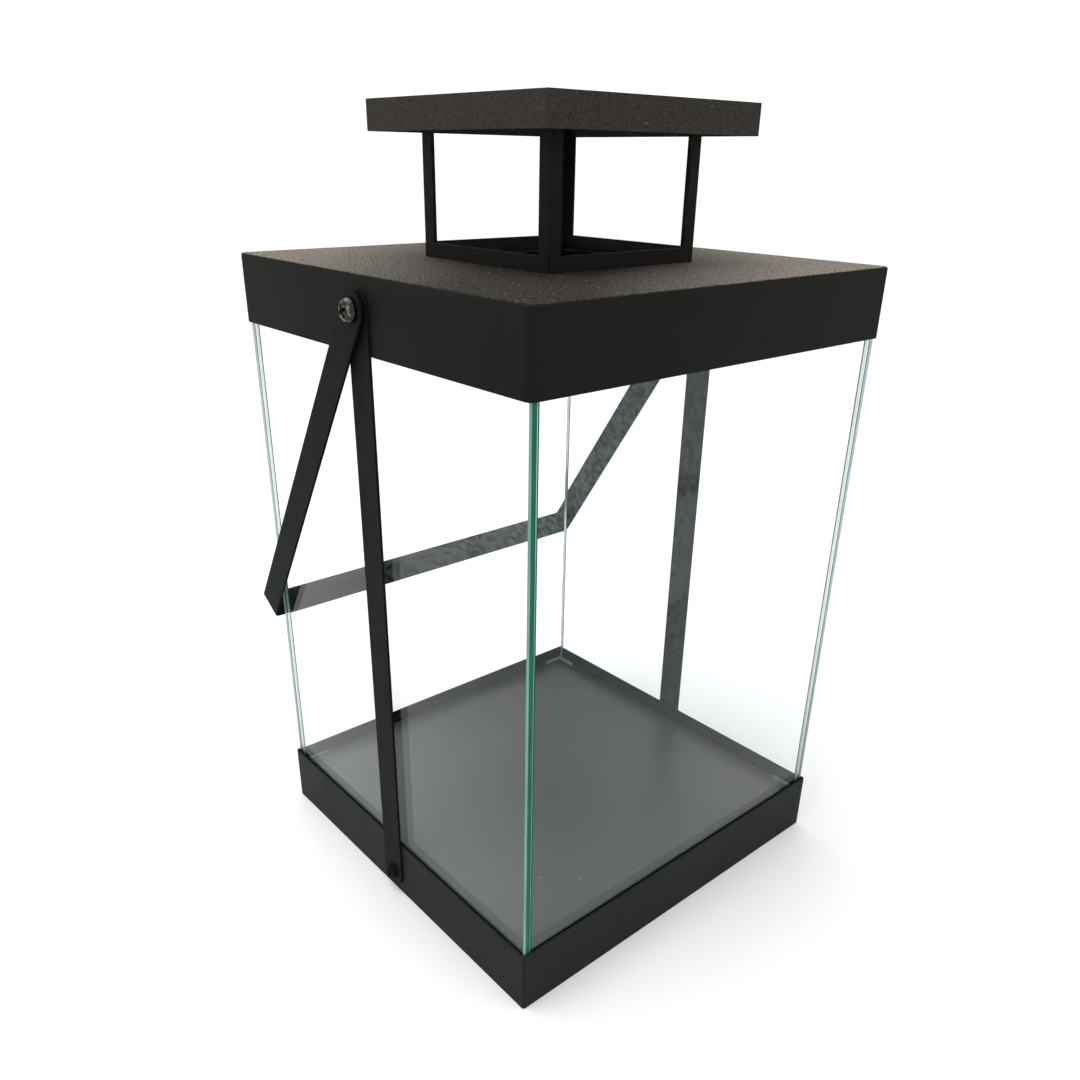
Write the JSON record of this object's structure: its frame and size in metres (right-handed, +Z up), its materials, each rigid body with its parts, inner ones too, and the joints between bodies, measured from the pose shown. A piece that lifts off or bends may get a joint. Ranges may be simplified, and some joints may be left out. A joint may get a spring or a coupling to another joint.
{
  "type": "glass lantern",
  "caption": "Square glazed candle lantern: steel base and hood, vented chimney with flat cap, side straps and a folding U-shaped handle.",
  "frame": {"origin": "centre of the base, on the surface it stands on", "axes": "+Z up; the handle rests against the pane on the +Y side; the straps and the handle's pivots are on the -X and +X sides"},
  "size_m": [0.2684, 0.2644, 0.4425],
  "materials": {
    "base_paint": "satin black powder coat",
    "pan_paint": "semi-gloss black powder coat",
    "hood_paint": "matte black powder coat, fine grain",
    "cap_paint": "matte black powder coat, fine grain",
    "chimney_paint": "matte black powder coat",
    "strip_paint": "matte black powder coat",
    "screw_metal": "glossy black oxide",
    "nut_metal": "zinc plated",
    "glass": "clear float glass, green edges",
    "clear_plastic": "clear, slightly green"
  },
  "bodies": {
    "lantern": {"base_rim": "base_paint", "base_floor": "pan_paint", "pane_cleat_front_left": "clear_plastic", "pane_cleat_rear_left": "clear_plastic", "pane_cleat_rear_right": "clear_plastic", "pane_cleat_front_right": "clear_plastic", "pane_left": "glass", "pane_rear": "glass", "pane_right": "glass", "hood": "hood_paint", "pane_guide_front_left": "chimney_paint", "pane_guide_rear_left": "chimney_paint", "pane_guide_rear_right": "chimney_paint", "pane_guide_front_right": "chimney_paint", "chimney_front_left": "chimney_paint", "chimney_rear_left": "chimney_paint", "chimney_rear_right": "chimney_paint", "chimney_front_right": "chimney_paint", "cap": "cap_paint", "strap_left": "strip_paint", "strap_right": "strip_paint", "spacer_left": "strip_paint", "spacer_right": "strip_paint", "pivot_screw_left": "screw_metal", "pivot_screw_right": "screw_metal", "lower_screw_left": "screw_metal", "lower_screw_right": "screw_metal", "pivot_nut_left": "nut_metal", "pivot_nut_right": "nut_metal", "lower_nut_left": "nut_metal", "lower_nut_right": "nut_metal"},
    "handle": {"handle": "strip_paint"},
    "front_pane": {"pane_front": "glass"}
  },
  "joints": [
    {"name": "handle_swing", "type": "hinge", "parent": "lantern", "child": "handle", "pos_m": [0, 0, 0.351], "axis": [1, 0, 0], "range_deg": [0, 293.97]},
    {"name": "front_pane_lift", "type": "slide", "parent": "lantern", "child": "front_pane", "axis": [0, 0, 1], "range_m": [0, 0.009]}
  ]
}
